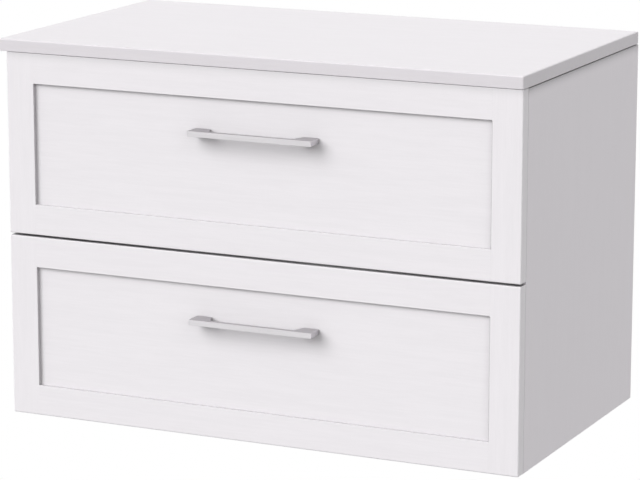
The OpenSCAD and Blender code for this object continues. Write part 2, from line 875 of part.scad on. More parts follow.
// The base board, which can have a way for the waste pipe cut into its back edge
module drawer_base(runner_z, way_w, way_d) {
  z = runner_z + base_lift;
  color(liner_colour) difference() {
    box([-box_half_w, front_back_y + board_clear, z], [box_half_w, drawer_back_y, z + drawer_board_t]);
    if (way_w > 0)
      box([-way_w / 2, drawer_back_y - way_d, z - cut_past],
          [way_w / 2, drawer_back_y + cut_past, z + drawer_board_t + cut_past]);
  }
}

// An upright board of the box, on the base board and as high as the sides
module upright(x1, x2, y1, y2, runner_z, side_h) {
  z = runner_z + base_lift + drawer_board_t;
  color(liner_colour) box([x1, y1, z], [x2, y2, runner_z + runner_h + side_h]);
}

way_side_x = pipe_way_w / 2 + drawer_board_t;
way_front_y = drawer_back_y - pipe_way_d;

module upper_drawer_back_left() {
  upright(-box_half_w, -way_side_x, drawer_back_y - drawer_board_t, drawer_back_y,
          upper_runner_z, upper_side_h);
}

module upper_drawer_back_right() {
  mirrored() upper_drawer_back_left();
}

module pipe_way_side_left() {
  upright(-way_side_x, -pipe_way_w / 2, way_front_y, drawer_back_y, upper_runner_z, upper_side_h);
}

module pipe_way_side_right() {
  mirrored() pipe_way_side_left();
}

module pipe_way_front() {
  upright(-way_side_x, way_side_x, way_front_y - drawer_board_t, way_front_y,
          upper_runner_z, upper_side_h);
}

module upper_drawer_base() {
  drawer_base(upper_runner_z, pipe_way_w, pipe_way_d);
}

module lower_drawer_base() {
  drawer_base(lower_runner_z, 0, 0);
}

module lower_drawer_back() {
  upright(-box_half_w, box_half_w, drawer_back_y - drawer_board_t, drawer_back_y,
          lower_runner_z, lower_side_h);
}

module upper_drawer_side_left() {
  drawer_side(upper_runner_z, upper_side_h);
}

module upper_drawer_side_right() {
  mirrored() drawer_side(upper_runner_z, upper_side_h);
}

module lower_drawer_side_left() {
  drawer_side(lower_runner_z, lower_side_h);
}

module lower_drawer_side_right() {
  mirrored() drawer_side(lower_runner_z, lower_side_h);
}

module upper_front_brackets() {
  front_brackets(upper_runner_z);
}

module lower_front_brackets() {
  front_brackets(lower_runner_z);
}

module upper_front_screws() {
  front_screws(upper_runner_z);
}

module lower_front_screws() {
  front_screws(lower_runner_z);
}

// ---- the two fronts, named for the drawer that they close ----

upper_handle_z = upper_front_z + upper_front_h / 2 + upper_handle_rise;
lower_handle_z = lower_front_z + lower_front_h / 2 + lower_handle_rise;

module upper_front_stile_left() {
  front_stile(upper_front_z, upper_front_h, upper_runner_z);
}

module upper_front_stile_right() {
  mirrored() upper_front_stile_left();
}

module upper_front_top_rail() {
  top_rail(upper_front_z, upper_front_h);
}

module upper_front_bottom_rail() {
  bottom_rail(upper_front_z);
}

module upper_front_panel() {
  front_panel(upper_front_z, upper_front_h, upper_handle_z);
}

module upper_handle() {
  handle(upper_handle_z);
}

module upper_handle_screws() {
  handle_screws(upper_handle_z);
}

module lower_front_stile_left() {
  front_stile(lower_front_z, lower_front_h, lower_runner_z);
}

module lower_front_stile_right() {
  mirrored() lower_front_stile_left();
}

module lower_front_top_rail() {
  top_rail(lower_front_z, lower_front_h);
}

module lower_front_bottom_rail() {
  bottom_rail(lower_front_z);
}

module lower_front_panel() {
  front_panel(lower_front_z, lower_front_h, lower_handle_z);
}

module lower_handle() {
  handle(lower_handle_z);
}

module lower_handle_screws() {
  handle_screws(lower_handle_z);
}

// ---- one line for each node ----

side_panel_left();
side_panel_right();
base_panel();
front_top_rail();
back_rail_upper();
back_rail_lower();
worktop();
worktop_brackets();
bracket_screws();
carcass_cams();
carcass_cam_bolts();
hanger_housings();
hanger_hooks();
hanger_screws();
wall_plates();
upper_cabinet_member_left();
upper_cabinet_member_right();
lower_cabinet_member_left();
lower_cabinet_member_right();
runner_screws();
soft_close_dampers();
bumper_pads();
upper_intermediate_member_left();
upper_intermediate_member_right();
lower_intermediate_member_left();
lower_intermediate_member_right();
upper_front_stile_left();
upper_front_stile_right();
upper_front_top_rail();
upper_front_bottom_rail();
upper_front_panel();
upper_handle();
upper_handle_screws();
upper_drawer_side_left();
upper_drawer_side_right();
upper_drawer_base();
upper_drawer_back_left();
upper_drawer_back_right();
pipe_way_side_left();
pipe_way_side_right();
pipe_way_front();
upper_drawer_member_left();
upper_drawer_member_right();
upper_front_brackets();
upper_front_screws();
lower_front_stile_left();
lower_front_stile_right();
lower_front_top_rail();
lower_front_bottom_rail();
lower_front_panel();
lower_handle();
lower_handle_screws();
lower_drawer_side_left();
lower_drawer_side_right();
lower_drawer_base();
lower_drawer_back();
lower_drawer_member_left();
lower_drawer_member_right();
lower_front_brackets();
lower_front_screws();
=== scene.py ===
import bpy
import numpy as np
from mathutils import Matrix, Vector


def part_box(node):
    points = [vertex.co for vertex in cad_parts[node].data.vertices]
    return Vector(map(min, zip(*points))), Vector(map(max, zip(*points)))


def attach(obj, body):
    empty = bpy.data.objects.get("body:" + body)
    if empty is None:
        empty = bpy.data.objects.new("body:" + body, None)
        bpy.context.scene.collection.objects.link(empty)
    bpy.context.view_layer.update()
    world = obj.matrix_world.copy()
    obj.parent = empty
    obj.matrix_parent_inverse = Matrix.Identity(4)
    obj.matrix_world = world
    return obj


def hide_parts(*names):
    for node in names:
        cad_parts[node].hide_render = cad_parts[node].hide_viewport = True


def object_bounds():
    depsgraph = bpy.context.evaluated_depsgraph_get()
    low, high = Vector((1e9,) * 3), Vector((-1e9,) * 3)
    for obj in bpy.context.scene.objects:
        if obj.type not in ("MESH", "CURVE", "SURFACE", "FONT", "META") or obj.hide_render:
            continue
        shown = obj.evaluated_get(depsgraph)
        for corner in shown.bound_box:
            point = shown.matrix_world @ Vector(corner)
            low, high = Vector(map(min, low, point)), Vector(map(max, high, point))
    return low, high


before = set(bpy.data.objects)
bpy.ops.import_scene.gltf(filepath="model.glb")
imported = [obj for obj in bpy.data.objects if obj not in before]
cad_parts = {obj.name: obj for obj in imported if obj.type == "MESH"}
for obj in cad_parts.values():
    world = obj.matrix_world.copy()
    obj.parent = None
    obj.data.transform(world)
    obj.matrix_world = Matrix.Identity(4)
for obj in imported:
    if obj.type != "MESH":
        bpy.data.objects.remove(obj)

cad_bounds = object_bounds()

# ---- Side panels ----
# Two 18 mm particle boards faced on both sides with satin white foil and banded along their edges.
# The other boards, the runners and the hangers are all fixed to them, and a narrow joint, in
# shade, is left between them and the worktop.

MM = 0.001
# The number of each axis, and the numbers of the two axes across it.
NUMBER = {"x": 0, "y": 1, "z": 2}
PLANE = {"x": (1, 2), "y": (0, 2), "z": (0, 1)}
panel_edge_r, panel_end_r, panel_joint = 1.1 * MM, 1.0 * MM, 1.3 * MM


def rectangle(left, foot, right, head):
    """The four corners of an upright rectangle, anticlockwise from the lower left one."""
    return [(left, foot), (right, foot), (right, head), (left, head)]


def signed_area(outline):
    """Half the sum of the cross products of neighbouring points, which is positive for an
    anticlockwise outline."""
    ahead = np.roll(outline, -1, 0)
    return (outline[:, 0] * ahead[:, 1] - outline[:, 1] * ahead[:, 0]).sum() / 2


def rounded_outline(corners, radii, steps=4):
    """Closed outline whose corners are arcs. Each arc's centre lies on the corner's bisector at
    radius / sin(half the corner's angle), and its points turn evenly from one side to the next."""
    corners = np.asarray(corners, float)
    radii = np.broadcast_to(np.asarray(radii, float), len(corners))[:, None]
    back = np.roll(corners, 1, 0) - corners
    ahead = np.roll(corners, -1, 0) - corners
    back /= np.linalg.norm(back, axis=1, keepdims=True)
    ahead /= np.linalg.norm(ahead, axis=1, keepdims=True)
    half = np.arccos(np.clip((back * ahead).sum(1), -1, 1))[:, None] / 2
    bisector = back + ahead
    bisector /= np.linalg.norm(bisector, axis=1, keepdims=True)
    centre = corners + bisector * radii / np.sin(half)
    first = corners + back * radii / np.tan(half) - centre
    last = corners + ahead * radii / np.tan(half) - centre
    turn = np.pi - 2 * half
    share = np.linspace(0, 1, steps + 1)[None]
    weight_first = (np.sin((1 - share) * turn) / np.sin(turn))[..., None]
    weight_last = (np.sin(share * turn) / np.sin(turn))[..., None]
    arcs = centre[:, None] + weight_first * first[:, None] + weight_last * last[:, None]
    return arcs.reshape(-1, 2)


def mitres(outline):
    """Outward mitre at each point of a closed outline: how far the point moves when both of its
    sides move out by one. It is the sum of the two sides' normals, over one plus their dot
    product."""
    side = np.roll(outline, -1, 0) - outline
    normal = np.stack([side[:, 1], -side[:, 0]], 1) / np.linalg.norm(side, axis=1)[:, None]
    normal *= np.sign(signed_area(outline))
    before = np.roll(normal, 1, 0)
    return (normal + before) / (1 + (normal * before).sum(1))[:, None]


def skin(outlines, heights, axis, ring=False):
    """Skin over a stack of closed outlines. Point (i, j) is point j of outline i, at heights[i]
    along the axis. Quads join neighbours; a flat face closes each end, or the last outline
    joins the first where the stack is a ring, as in a tube with a wall. Returns the points and
    the sets of faces with equally many corners."""
    if signed_area(outlines[0]) * (-1 if axis == "y" else 1) < 0:
        outlines = outlines[:, ::-1]
    rows, count = outlines.shape[:2]
    points = np.empty((rows, count, 3))
    points[..., PLANE[axis]] = outlines
    points[..., NUMBER[axis]] = np.asarray(heights)[:, None]
    index = np.arange(rows * count).reshape(rows, count)
    below = index if ring else index[:-1]
    above = np.roll(index, -1, 0) if ring else index[1:]
    quads = np.stack([below, np.roll(below, -1, 1), np.roll(above, -1, 1), above], -1)
    face_sets = [quads.reshape(-1, 4)]
    if not ring:
        face_sets.append(np.stack([index[0, ::-1], index[-1]]))
    return points.reshape(-1, 3), face_sets


def run(outline, start, end, end_r, axis, steps=3, start_r=None):
    """Carries a closed outline along an axis. Near each end it draws in along its mitres by
    r * (1 - sin t) and lies r * (1 - cos t) inside the end, for t from 0 to 90 degrees, where r
    is end_r, or start_r at the start if it is given."""
    t = np.linspace(0, np.pi / 2, steps + 1)
    start_r = end_r if start_r is None else start_r
    drawn_in = np.concatenate([start_r * (1 - np.sin(t)), end_r * (1 - np.sin(t[::-1]))])
    heights = np.concatenate([start + start_r * (1 - np.cos(t)),
                              end - end_r * (1 - np.cos(t[::-1]))])
    outlines = outline[None] - drawn_in[:, None, None] * mitres(outline)[None]
    return skin(outlines, heights, axis)


def board(low, high, edge_r, end_r, axis):
    """A box between two corners, run along an axis, with arcs of edge_r along it and arcs of
    end_r across it."""
    a, b = PLANE[axis]
    outline = rounded_outline(rectangle(low[a], low[b], high[a], high[b]), edge_r)
    return run(outline, low[NUMBER[axis]], high[NUMBER[axis]], end_r, axis)


# A normal begins to count as pointing along a direction at the cosine marked_from, and counts
# fully once the cosine is marked_over more.
marked_from, marked_over = 0.75, 0.15


def settle_normals(mesh, inward, facing_gap):
    """Gives each vertex the mean normal of its faces, weighted by their area squared, so that a
    large flat face stays flat up to its edge and a narrow rounded edge shades smoothly. It also
    marks where the foil paints light and shade. The painted highlight's mark is 0 where a normal
    points along an axis and 1 where it is 45 degrees off. The painted shade's mark is the length of
    an inward direction where a normal points within 26 degrees of it, and 0 from 41 degrees; the
    gap's painted shade is marked the same way for the directions that face a gap."""
    count = len(mesh.polygons)
    normals, areas = np.empty(count * 3), np.empty(count)
    totals, corners = np.empty(count, int), np.empty(len(mesh.loops), int)
    mesh.polygons.foreach_get("normal", normals)
    mesh.polygons.foreach_get("area", areas)
    mesh.polygons.foreach_get("loop_total", totals)
    mesh.loops.foreach_get("vertex_index", corners)
    weighted = normals.reshape(-1, 3) * (areas / areas.max())[:, None] ** 2
    summed = np.zeros((len(mesh.vertices), 3))
    np.add.at(summed, corners, weighted[np.repeat(np.arange(count), totals)])
    summed /= np.linalg.norm(summed, axis=1, keepdims=True)
    mesh.shade_smooth()
    mesh.normals_split_custom_set_from_vertices(summed.tolist())
    edge = np.clip((1 - np.abs(summed).max(1)) / (1 - np.sqrt(0.5)), 0, 1)
    marks = {"edge": edge, "painted_shade": np.zeros(len(summed)), "gap_painted_shade": np.zeros(len(summed))}
    for name, ways in (("painted_shade", inward), ("gap_painted_shade", facing_gap)):
        for way in ways:
            length = np.linalg.norm(way)
            along = summed @ np.array(way) / length
            mark = length * np.clip((along - marked_from) / marked_over, 0, 1)
            marks[name] = np.maximum(marks[name], mark)
    for name, values in marks.items():
        attribute = mesh.attributes.new(name, "FLOAT", "POINT")
        attribute.data.foreach_set("value", values.astype(np.float32))


def make_piece(name, shapes, material, body, slot, *nodes, inward=(), facing_gap=()):
    """Joins shapes of points and face sets into one mesh that rides on a body and stands for CAD
    nodes. The foil paints shade on the faces that point along inward, and on those that point
    along facing_gap while the gap is shut."""
    starts = np.cumsum([0] + [len(points) for points, _ in shapes])
    faces = [face for start, (_, face_sets) in zip(starts, shapes)
             for face_set in face_sets for face in (face_set + start).tolist()]
    mesh = bpy.data.meshes.new(name)
    mesh.from_pydata(np.concatenate([points for points, _ in shapes]).tolist(), [], faces)
    settle_normals(mesh, inward, facing_gap)
    mesh.materials.append(material)
    piece = bpy.data.objects.new(name, mesh)
    bpy.context.scene.collection.objects.link(piece)
    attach(piece, body)
    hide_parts(*nodes)


def add(tree, kind, values=(), **settings):
    """Adds a node. settings are its properties, and values are pairs of an input and either its
    value or the output that feeds it."""
    node = tree.nodes.new(kind)
    for key, value in settings.items():
        setattr(node, key, value)
    for key, value in dict(values).items():
        if isinstance(value, bpy.types.NodeSocket):
            tree.links.new(value, node.inputs[key])
        else:
            node.inputs[key].default_value = value
    return node


def calc(tree, operation, *values, **settings):
    """The result of one operation on one to three numbers or outputs."""
    values = dict(enumerate(values))
    return add(tree, "ShaderNodeMath", values, operation=operation, **settings).outputs[0]


def spread(tree, value, low, high, to_low=0.0, to_high=1.0):
    """The value mapped from low..high to to_low..to_high, and held there."""
    values = {"Value": value, "From Min": low, "From Max": high,
              "To Min": to_low, "To Max": to_high}
    return add(tree, "ShaderNodeMapRange", values).outputs["Result"]


def noise(tree, place, scale, detail, distortion=0.0):
    """Soft noise between 0 and 1."""
    values = {"Vector": place, "Scale": scale, "Detail": detail, "Distortion": distortion}
    return add(tree, "ShaderNodeTexNoise", values).outputs[0]


def tint(red, green, blue, factor=1.0):
    """A colour times a factor, opaque."""
    return (red * factor, green * factor, blue * factor, 1.0)


def blend_colours(tree, share, colour_a, colour_b):
    """A colour between two colours, by a share from 0 to 1."""
    values = {"Factor": share, 6: colour_a, 7: colour_b}
    return add(tree, "ShaderNodeMix", values, data_type="RGBA").outputs[2]


def new_group(name, inputs, *outputs):
    """An empty node group, and its inner ends. Its inputs are numbers, or vectors where their
    value is None, and its outputs are numbers."""
    group = bpy.data.node_groups.new(name, "ShaderNodeTree")
    for label, value in inputs.items():
        kind = "NodeSocketVector" if value is None else "NodeSocketFloat"
        socket = group.interface.new_socket(label, in_out="INPUT", socket_type=kind)
        if value is not None:
            socket.default_value = value
    for label in outputs:
        group.interface.new_socket(label, in_out="OUTPUT", socket_type="NodeSocketFloat")
    return group, add(group, "NodeGroupInput").outputs, add(group, "NodeGroupOutput").inputs


def add_group(tree, group, values):
    """Places a node group with its own values and returns its outputs."""
    return add(tree, "ShaderNodeGroup", values, node_tree=group).outputs


# Streaks: noise that is stretched along X by the length and across it by the width of a streak.
streaks, given, result = new_group("streaks", {"Vector": None, "Length": 0.1, "Width": 0.01},
                                   "Streak")
along = calc(streaks, "DIVIDE", 1.0, given["Length"])
across = calc(streaks, "DIVIDE", 1.0, given["Width"])
rate = add(streaks, "ShaderNodeCombineXYZ", {0: along, 1: across, 2: across}).outputs[0]
scaled = add(streaks, "ShaderNodeVectorMath", {0: given["Vector"], 1: rate}, operation="MULTIPLY")
drawn_out = noise(streaks, scaled.outputs[0], scale=1.0, detail=3.0, distortion=0.4)
streaks.links.new(drawn_out, result["Streak"])


def streak(tree, place, length, width):
    """The streaks, with a streak's length and width in metres."""
    values = {"Vector": place, "Length": length, "Width": width}
    return add_group(tree, streaks, values)["Streak"]


# Woodgrain of the foil: broad streaks and wisps set its tone with a little of the fine ones,
# which also set its gloss, and short pores are pressed into it.
woodgrain, given, result = new_group("woodgrain", {"Vector": None},
                                     "Tone", "Pores", "Gloss", "Height")
broad = streak(woodgrain, given["Vector"], 0.12, 0.011)
wisp = streak(woodgrain, given["Vector"], 0.05, 0.003)
fine = streak(woodgrain, given["Vector"], 0.035, 0.0016)
pores = spread(woodgrain, streak(woodgrain, given["Vector"], 0.012, 0.0005), 0.60, 0.70)
tone = calc(woodgrain, "MULTIPLY_ADD", fine, 0.5, calc(woodgrain, "ADD", broad, wisp))
woodgrain.links.new(spread(woodgrain, tone, 1.0, 1.5), result["Tone"])
woodgrain.links.new(pores, result["Pores"])
woodgrain.links.new(spread(woodgrain, fine, 0.3, 0.7, 0.46, 0.38), result["Gloss"])
woodgrain.links.new(calc(woodgrain, "SUBTRACT", fine, pores), result["Height"])

# Height shade: a factor that goes from one value at a low height to another at a high one, by
# the share of the way up raised to a power.
height_shade, given, result = new_group(
    "height_shade", {"Vector": None, "Low": 0.0, "High": 1.0, "At Low": 1.0, "At High": 1.0,
                     "Power": 1.0}, "Factor", "Share")
height = add(height_shade, "ShaderNodeSeparateXYZ", {0: given["Vector"]}).outputs["Z"]
share = spread(height_shade, height, given["Low"], given["High"])
bent = calc(height_shade, "POWER", share, given["Power"])
factor = spread(height_shade, bent, 0, 1, given["At Low"], given["At High"])
height_shade.links.new(factor, result["Factor"])
height_shade.links.new(share, result["Share"])


def new_material(name, metallic=0.0, turn=(0, 0, 0)):
    """A material with one Principled shader, and its Object coordinates turned by turn."""
    material = bpy.data.materials.new(name)
    material.use_nodes = True
    tree = material.node_tree
    sockets = tree.nodes["Principled BSDF"].inputs
    sockets["Metallic"].default_value = metallic
    place = add(tree, "ShaderNodeTexCoord").outputs["Object"]
    if any(turn):
        place = add(tree, "ShaderNodeMapping", {"Vector": place, "Rotation": turn}).outputs[0]
    return material, tree, sockets, place


def bump(tree, sockets, height, depth, strength):
    """Feeds the shader's Normal from a height from 0 to 1 that stands for depth in metres."""
    values = {"Height": height, "Distance": depth, "Strength": strength}
    tree.links.new(add(tree, "ShaderNodeBump", values).outputs[0], sockets["Normal"])


# The grain's lighter and darker tones, the pores' white, and the painted highlight's white along
# rounded edges.
foil_light, foil_dark, pore_share, pore_white, edge_white = 0.014, 0.020, 0.35, 0.95, 1.02
emboss_depth, emboss_strength = 0.03 * MM, 0.6
# The grey that painted shade takes a face towards, the darker grey in the light that it throws, how
# much more that light counts, and how far the gap's painted shade looks for cover.
painted_shade_white, painted_shade_thrown, thrown_more, gap_reach = 0.45, 0.10, 0.5, 20 * MM


def foil(name, colour, turn, contrast=0.8):
    """Satin white foil with a faint embossed woodgrain, and a painted highlight that makes it a
    little lighter along rounded edges.

    It paints shade on the faces marked as looking into a recess, taking their white down towards
    a grey. Faces that face a gap get the same painted shade times the share of the view that is
    shut in within gap_reach, so that it leaves them once the gap is open. The light that the foil
    throws on to other faces carries this painted shade too, counted thrown_more as much again and
    towards a darker grey."""
    material, tree, sockets, place = new_material(name, turn=turn)
    grain = add_group(tree, woodgrain, {"Vector": place})
    dark_tone = tint(*colour, 1 - foil_dark * contrast)
    light_tone = tint(*colour, 1 + foil_light * contrast)
    face = blend_colours(tree, grain["Tone"], dark_tone, light_tone)
    pressed = calc(tree, "MULTIPLY", grain["Pores"], pore_share * contrast)
    face = blend_colours(tree, pressed, face, tint(*colour, pore_white))
    edge, painted_shade, gap_painted_shade = (add(tree, "ShaderNodeAttribute", attribute_name=mark).outputs["Fac"]
                         for mark in ("edge", "painted_shade", "gap_painted_shade"))
    face = blend_colours(tree, edge, face, tint(*colour, edge_white))
    around = add(tree, "ShaderNodeAmbientOcclusion", {"Distance": gap_reach}, samples=8)
    shut_in = calc(tree, "SUBTRACT", 1.0, around.outputs["AO"])
    painted_shade = calc(tree, "MAXIMUM", painted_shade, calc(tree, "MULTIPLY", gap_painted_shade, shut_in))
    thrown = add(tree, "ShaderNodeLightPath").outputs["Is Diffuse Ray"]
    more = calc(tree, "MULTIPLY_ADD", thrown, thrown_more, 1.0)
    painted_shade = calc(tree, "MULTIPLY", painted_shade, more, use_clamp=True)
    dark = blend_colours(tree, thrown, tint(*colour, painted_shade_white), tint(*colour, painted_shade_thrown))
    tree.links.new(blend_colours(tree, painted_shade, face, dark), sockets["Base Color"])
    tree.links.new(grain["Gloss"], sockets["Roughness"])
    bump(tree, sockets, grain["Height"], emboss_depth, emboss_strength * contrast)
    return material


def shade_by_height(material, low, high, at_low, at_high, power=1.0):
    """Multiplies a material's colour by the height shade, from at_low at the height low to
    at_high at the height high. Returns the share of the way up."""
    tree = material.node_tree
    colour = tree.nodes["Principled BSDF"].inputs["Base Color"]
    place = add(tree, "ShaderNodeTexCoord").outputs["Object"]
    shade = add_group(tree, height_shade, {"Vector": place, "Low": low, "High": high,
                                           "At Low": at_low, "At High": at_high, "Power": power})
    values = {"Factor": 1.0, 6: colour.links[0].from_socket, 7: shade["Factor"]}
    shaded = add(tree, "ShaderNodeMix", values, data_type="RGBA", blend_type="MULTIPLY")
    tree.links.new(shaded.outputs[2], colour)
    return shade["Share"]


side_white, side_contrast = (0.838, 0.803, 0.838), 0.35
quarter = np.pi / 2
grain_upright = (0, quarter, 0)
under_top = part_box("worktop")[0].z
# Shade is painted on the side panels just under the worktop: their white falls to a third at the
# top, and the shade is gone 20 mm below it.
top_shade_foot, top_shade_power, side_top_shade = under_top - 20 * MM, 3.0, 0.33
foil_plain = foil("white_foil_plain", side_white, grain_upright, side_contrast)
shade_by_height(foil_plain, top_shade_foot, under_top, 1.0, side_top_shade, top_shade_power)
for side in ("left", "right"):
    node = f"side_panel_{side}"
    low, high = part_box(node)
    high.z -= panel_joint
    shape = board(low, high, panel_edge_r, panel_end_r, "z")
    make_piece(f"{node}_faced", [shape], foil_plain, "cabinet", "white_board", node)

# ---- Base panel and rails ----
# White melamine-faced boards between the side panels: the base, a flat rail under the worktop,
# and two upright rails at the back, each bored for the fittings that pull it to the sides.


def paint_nodes(material, *names):
    """Gives CAD nodes a material in place of the one that they came with."""
    for name in names:
        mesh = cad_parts[name].data
        mesh.materials.clear()
        mesh.materials.append(material)


# Speckle: two sizes of noise, added and sharpened, for grains of colour and pressed or cast skins.
speckle, given, result = new_group("speckle", {"Vector": None, "Size": 0.001}, "Speckle")
rate = calc(speckle, "DIVIDE", 1.0, given["Size"])
finer = calc(speckle, "MULTIPLY", rate, 2.7)
coarse = noise(speckle, given["Vector"], scale=rate, detail=1.0)
small = noise(speckle, given["Vector"], scale=finer, detail=0.0)
total = calc(speckle, "ADD", coarse, small)
speckle.links.new(spread(speckle, total, 0.7, 1.3), result["Speckle"])

gloss_swing, speck_strength = 0.05, 0.5


def skin_material(name, colour, size, depth, roughness, contrast, metallic=0.0):
    """A material whose colour, roughness and height vary with the speckle, by contrast,
    gloss_swing and depth."""
    material, tree, sockets, place = new_material(name, metallic)
    speck = add_group(tree, speckle, {"Vector": place, "Size": size})["Speckle"]
    colours = (tint(*colour, 1 - contrast), tint(*colour, 1 + contrast))
    gloss = spread(tree, speck, 0, 1, roughness + gloss_swing, roughness - gloss_swing)
    tree.links.new(blend_colours(tree, speck, *colours), sockets["Base Color"])
    tree.links.new(gloss, sockets["Roughness"])
    bump(tree, sockets, speck, depth, speck_strength)
    return material


melamine = skin_material("white_melamine", (0.80, 0.78, 0.80), size=1.2 * MM, depth=0.05 * MM,
                         roughness=0.42, contrast=0.035)
paint_nodes(melamine, "base_panel", "front_top_rail", "back_rail_upper", "back_rail_lower")

# ---- Cam fittings ----
# A die-cast cam let into each board's face turns behind the head of a steel bolt in the side
# panel. Ten pairs pull the boards up tight.

cast_zinc = skin_material("cast_zinc", (0.60, 0.61, 0.63), size=0.5 * MM, depth=0.03 * MM,
                          roughness=0.38, contrast=0.10, metallic=1.0)
paint_nodes(cast_zinc, "carcass_cams", "carcass_cam_bolts")

# ---- Hangers and wall plates ----
# A moulded housing in each rear corner holds a steel hook that drops behind the lip of a plate
# on the wall. Two screws move the hook up and down and in and out.

moulded = skin_material("moulded_grey_plastic", (0.30, 0.31, 0.32), size=0.6 * MM,
                        depth=0.03 * MM, roughness=0.48, contrast=0.05)
paint_nodes(moulded, "hanger_housings", "soft_close_dampers")

plating_dark, plating_light = 0.88, 1.08
rolled_depth, rolled_strength = 0.01 * MM, 0.4


def zinc_sheet(name, colour, spangle, roughness):
    """Zinc-plated sheet: crystals of the plating that differ in tone and gloss, under fine lines
    left by rolling."""
    material, tree, sockets, place = new_material(name, 1.0, (0, 0, quarter))
    crystals = add(tree, "ShaderNodeTexVoronoi", {"Vector": place, "Scale": 1 / spangle})
    cell = add(tree, "ShaderNodeSeparateColor", {0: crystals.outputs["Color"]}).outputs[0]
    lines = streak(tree, place, 0.05, 0.0004)
    share = spread(tree, calc(tree, "ADD", cell, lines), 0.3, 1.5)
    colours = (tint(*colour, plating_dark), tint(*colour, plating_light))
    gloss = spread(tree, cell, 0, 1, roughness - 0.06, roughness + 0.08)
    tree.links.new(blend_colours(tree, share, *colours), sockets["Base Color"])
    tree.links.new(gloss, sockets["Roughness"])
    bump(tree, sockets, lines, rolled_depth, rolled_strength)
    return material


zinc_steel = zinc_sheet("zinc_plated_steel", (0.60, 0.61, 0.62), spangle=5 * MM, roughness=0.36)
bright_zinc = skin_material("bright_zinc_screws", (0.68, 0.70, 0.72), size=0.3 * MM,
                            depth=0.01 * MM, roughness=0.28, contrast=0.06, metallic=1.0)
paint_nodes(zinc_steel, "hanger_hooks", "wall_plates", "worktop_brackets")
paint_nodes(bright_zinc, "hanger_screws", "bracket_screws", "runner_screws")

# ---- Runners, the parts on the cabinet ----
# Each drawer runs on two rolled steel channels screwed to the side panels. The channel's lips
# are turned in at the top to hold the member that slides in it.

sheet_edge_r = 0.25 * MM
channel = [(0, 0), (31, 0), (31, 10), (26, 10), (26, 8.5), (29.5, 8.5), (29.5, 1.5), (6.5, 1.5),
           (6.5, 8.5), (10, 8.5), (10, 10), (5, 10), (5, 1.5), (1.5, 1.5), (1.5, 25), (0, 25)]
channel_radii = [1.2, 1.6, 1.6, 0.35, 0.35, 0.4, 0.6, 0.6,
                 0.4, 0.35, 0.35, 1.6, 0.5, 0.6, 0.35, 0.35]
inner_face = {"left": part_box("side_panel_left")[1].x, "right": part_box("side_panel_right")[0].x}
inwards = {"left": 1, "right": -1}


def beside_panel(corners, side, height):
    """Turns corners in millimetres, measured inwards from a side panel and up from a height,
    into places in the cabinet."""
    corners = np.array(corners, float) * MM
    return corners * (inwards[side], 1) + (inner_face[side], height)


for level in ("upper", "lower"):
    for side in ("left", "right"):
        node = f"{level}_cabinet_member_{side}"
        low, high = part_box(node)
        corners = beside_panel(channel, side, low.z)
        outline = rounded_outline(corners, np.array(channel_radii) * MM)
        shape = run(outline, low.y, high.y, sheet_edge_r, "y")
        make_piece(f"{node}_rolled", [shape], zinc_steel, "cabinet", "zinc_steel", node)

# ---- Bumper pads ----
# Clear soft domes stuck to the front edges of the side panels, so that the fronts close quietly.
# Two meet each end of each front.

pad_r, pad_dome_r, pad_points = 4 * MM, 0.8 * MM, 24
lower_head_pad, upper_foot_pad = 232.5 * MM, 229 * MM
pad_soft = skin_material("clear_soft_pad", (0.62, 0.61, 0.62), size=0.8 * MM, depth=0.02 * MM,
                         roughness=0.35, contrast=0.02)
pad_turn = np.linspace(0, 2 * np.pi, pad_points, endpoint=False)
pad_circle = pad_r * np.stack([np.cos(pad_turn), np.sin(pad_turn)], 1)
low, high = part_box("bumper_pads")
pad_shapes = []
for x in (low.x + pad_r, high.x - pad_r):
    for z in (low.z + pad_r, low.z + lower_head_pad, high.z - upper_foot_pad, high.z - pad_r):
        pad_shapes.append(run(pad_circle + (x, z), low.y, high.y, pad_dome_r, "y"))
make_piece("bumper_pads_domed", pad_shapes, pad_soft, "cabinet", "pad_elastomer", "bumper_pads")

# ---- Worktop ----
# A flat 18 mm top in the same foil, a shade darker round its edge, laid on the cabinet and held
# from below by four steel angles. It passes the left side and is level with the right one.

top_edge_r, top_foot_r, top_corner_r = 2.4 * MM, 0.6 * MM, 2.6 * MM
top_white, end_shade, band_shade = (0.825, 0.791, 0.825), 0.08, 0.86
band_head, face_rim = 1.6 * MM, 0.2 * MM
face_coat, coat_roughness = 0.5, 0.35
foil_worktop = foil("white_foil_worktop", top_white, (0, 0, 0))
low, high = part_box("worktop")
on_face = shade_by_height(foil_worktop, high.z - band_head, high.z - face_rim, band_shade, 1.0)
tree = foil_worktop.node_tree
finish = tree.nodes["Principled BSDF"].inputs
finish["Coat Roughness"].default_value = coat_roughness
tree.links.new(spread(tree, on_face, 0, 1, 0.0, face_coat), finish["Coat Weight"])
outline = rounded_outline(rectangle(low.x, low.y, high.x, high.y), top_corner_r, steps=6)
shape = run(outline, low.z, high.z, top_edge_r, "z", steps=5, start_r=top_foot_r)
# Its two ends get a little of the foil's painted shade: about 4% darker, and more in the light that
# they throw.
make_piece("worktop_faced", [shape], foil_worktop, "cabinet", "white_board", "worktop",
           inward=((end_shade, 0, 0), (-end_shade, 0, 0)))

# ---- Drawer sides ----
# Hollow sides folded from 1 mm steel and powder coated, with a rounded top edge and a narrow
# shelf along the foot that carries the base board.

powder_coat = skin_material("powder_coated_sheet", (0.69, 0.678, 0.692), size=1.4 * MM,
                            depth=0.12 * MM, roughness=0.36, contrast=0.03)
